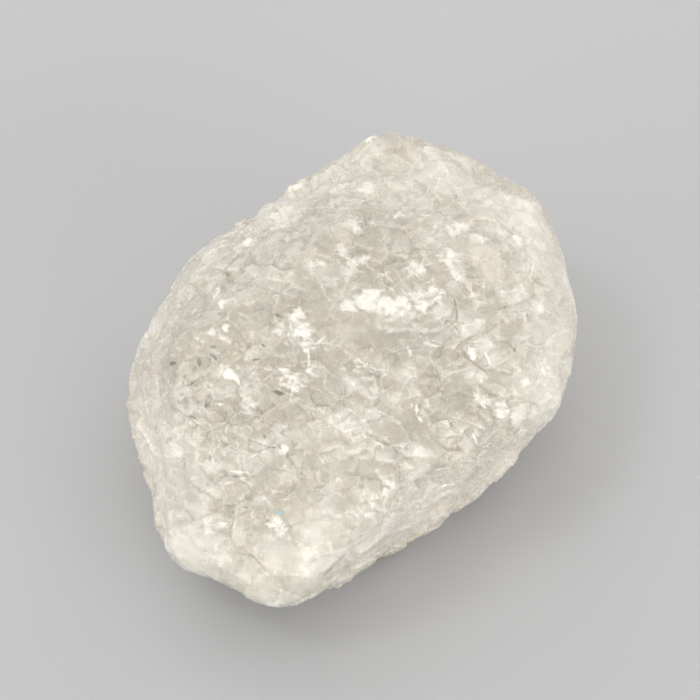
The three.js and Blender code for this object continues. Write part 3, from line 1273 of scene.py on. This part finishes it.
    def settle(self, mesh: bpy.types.Mesh, points: np.ndarray) -> None:
        """Move a mesh's points, and lift up to the floor those that would lie below it."""
        points[:, 2] = np.maximum(points[:, 2], 0.0)
        mesh.vertices.foreach_set("co", points.astype(np.float32).ravel())

    def keep(self, mesh: bpy.types.Mesh, name: str, values: np.ndarray) -> None:
        """Keep one number, or one vector, for each point of a mesh.

        Args:
            mesh: The mesh.
            name: The name that the finish reads them by.
            values: The numbers or vectors.
        """
        kind, field = ("FLOAT", "value") if values.ndim == 1 else ("FLOAT_VECTOR", "vector")
        layer = mesh.attributes.new(name, kind, "POINT")
        layer.data.foreach_set(field, values.astype(np.float32).ravel())

    def corners(self, mesh: bpy.types.Mesh) -> np.ndarray:
        """Read which points each of a mesh's triangles joins.

        Args:
            mesh: The mesh.

        Returns:
            Three numbers of points a triangle.
        """
        corners = np.empty(len(mesh.loops), dtype=np.int32)
        mesh.loops.foreach_get("vertex_index", corners)
        return corners.reshape(-1, 3)

    def read(self, mesh: bpy.types.Mesh) -> tuple[np.ndarray, np.ndarray]:
        """Read a mesh's points and the normals there.

        Args:
            mesh: The mesh.

        Returns:
            The points and the normals.
        """
        points = np.empty(len(mesh.vertices) * 3)
        mesh.vertices.foreach_get("co", points)
        normals = np.empty(len(mesh.vertices) * 3)
        mesh.vertex_normals.foreach_get("vector", normals)
        return points.reshape(-1, 3), normals.reshape(-1, 3)

    def spread(self, tree: BVHTree, points: np.ndarray, spots: tuple[Spot, ...]) -> np.ndarray:
        """Measure how strongly each point belongs to a set of spots.

        Args:
            tree: The lump's surface, to find each spot on.
            points: The lump's points.
            spots: Where the spots are.

        Returns:
            A share at each point. It is the spot's strength on the spot and falls to 0 at twice
            the spot's radius.
        """
        share = np.zeros(len(points))
        for spot in spots:
            found = self.find(tree, spot.name, spot.x, spot.y)
            if found is None:
                continue
            distance = np.linalg.norm(points - np.array(found), axis=1) / spot.radius
            fallen = np.clip(self.spot_top * (1.0 - 0.5 * distance), 0.0, 1.0)
            np.maximum(share, spot.strength * fallen, out=share)
        return share

    def lines(self, tree: BVHTree, points: np.ndarray, strokes: tuple[Stroke, ...]) -> np.ndarray:
        """Measure where each point lies on the nearest of a set of strokes.

        Args:
            tree: The lump's surface, to find each stroke on.
            points: The lump's points.
            strokes: Where the strokes are.

        Returns:
            For each point, how far it is to the side in half widths, how far it is from the
            stroke's middle in half lengths, and a zero.
        """
        nearest = np.tile((self.far, self.far, 0.0), (len(points), 1))
        for stroke in strokes:
            start = self.find(tree, stroke.name, stroke.x, stroke.y)
            end = self.find(tree, stroke.name, stroke.end_x, stroke.end_y)
            if start is None or end is None:
                continue
            half = (end - start) / 2
            side = self.viewpoint.axes()[2].cross(half).normalized()
            away = points - np.array((start + end) / 2)
            reach = np.linalg.norm(away, axis=1) / half.length
            near = reach < nearest[:, 1]
            nearest[near, 0] = away[near] @ np.array(side) * (2 / stroke.width)
            nearest[near, 1] = reach[near]
        return nearest

    def find(self, tree: BVHTree, name: str, x: float, y: float) -> Vector | None:
        """Find the place on the lump's surface that the camera sees at a pixel.

        Args:
            tree: The lump's surface.
            name: The name of the spot or stroke, for the log.
            x: How far the pixel is from the frame's left side.
            y: How far it is from the frame's top.

        Returns:
            The place, if there is one.
        """
        found = tree.ray_cast(self.viewpoint.place(), self.viewpoint.ray(x, y))[0]
        if found is None:
            LOG.warning("%s misses the lump", name)
        return found


# ---- Studio -----------------------------------------------------------------------------------


@dataclass(frozen=True)
class Softbox:
    """A square area light that faces the lump."""

    name: str
    azimuth: float
    elevation: float
    distance: float
    width: float
    power: float

    def build(self) -> None:
        """Make the light."""
        azimuth, elevation = math.radians(self.azimuth), math.radians(self.elevation)
        away = Vector(
            (
                math.cos(azimuth) * math.cos(elevation),
                math.sin(azimuth) * math.cos(elevation),
                math.sin(elevation),
            )
        )
        lamp = bpy.data.lights.new(self.name, "AREA")
        lamp.size = self.width
        lamp.energy = self.power
        box = bpy.data.objects.new(self.name, lamp)
        box.location = self.distance * away
        box.rotation_euler = away.to_track_quat("Z", "Y").to_euler()
        bpy.context.scene.collection.objects.link(box)


@dataclass(frozen=True)
class Studio:
    """A plain pale floor, soft lights and a pale surround."""

    floor_width: float = 6.0
    floor_colour: Colour = (0.375, 0.38, 0.395, 1.0)
    floor_roughness: float = 0.6
    surround: float = 0.985
    surround_colour: Colour = (1.0, 0.97, 0.92, 1.0)
    lights: tuple[Softbox, ...] = (
        Softbox("overhead", 100.0, 78.0, 1.1, 1.4, 0.9),
        Softbox("front_fill", -112.0, 6.0, 1.1, 1.0, 13.0),
        Softbox("right_fill", -20.0, 18.0, 1.1, 1.0, 4.0),
        Softbox("left_fill", 158.0, 6.0, 1.1, 1.0, 9.5),
        Softbox("far_fill", 60.0, 15.0, 1.1, 1.0, 4.0),
        Softbox("spark", 140.0, 62.0, 1.0, 0.22, 1.3),
    )

    def build(self) -> None:
        """Make the floor, the lights and the surround."""
        self.make_floor()
        for light in self.lights:
            light.build()
        self.make_surround()
        bpy.context.scene.view_settings.view_transform = "Standard"

    def make_floor(self) -> None:
        """Make the floor."""
        material = bpy.data.materials.new("pale_floor")
        material.use_nodes = True
        tree = Tree(material.node_tree)
        shader = tree.node(
            "ShaderNodeBsdfPrincipled",
            {},
            {"Base Color": self.floor_colour, "Roughness": self.floor_roughness},
        )
        tree.node("ShaderNodeOutputMaterial", {}, {"Surface": shader})
        mesh = bpy.data.meshes.new("floor")
        half = self.floor_width / 2
        corners = [(-half, -half, 0.0), (half, -half, 0.0), (half, half, 0.0), (-half, half, 0.0)]
        mesh.from_pydata(corners, [], [(0, 1, 2, 3)])
        mesh.materials.append(material)
        floor = bpy.data.objects.new("floor", mesh)
        bpy.context.scene.collection.objects.link(floor)

    def make_surround(self) -> None:
        """Make the even light that comes from all around."""
        world = bpy.data.worlds.new("surround")
        world.use_nodes = True
        background = world.node_tree.nodes["Background"]
        background.inputs["Color"].default_value = self.surround_colour
        background.inputs["Strength"].default_value = self.surround
        bpy.context.scene.world = world


def main() -> None:
    """Build the lump and its studio."""
    logging.basicConfig(level=logging.INFO, format="%(name)s: %(message)s")
    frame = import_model()
    viewpoint = Viewpoint()
    viewpoint.make_camera()
    Studio().build()
    lump = QuartzLump(viewpoint).build(frame)
    LOG.info("%s: %d faces", lump.name, len(lump.data.polygons))


if __name__ == "__main__":
    main()
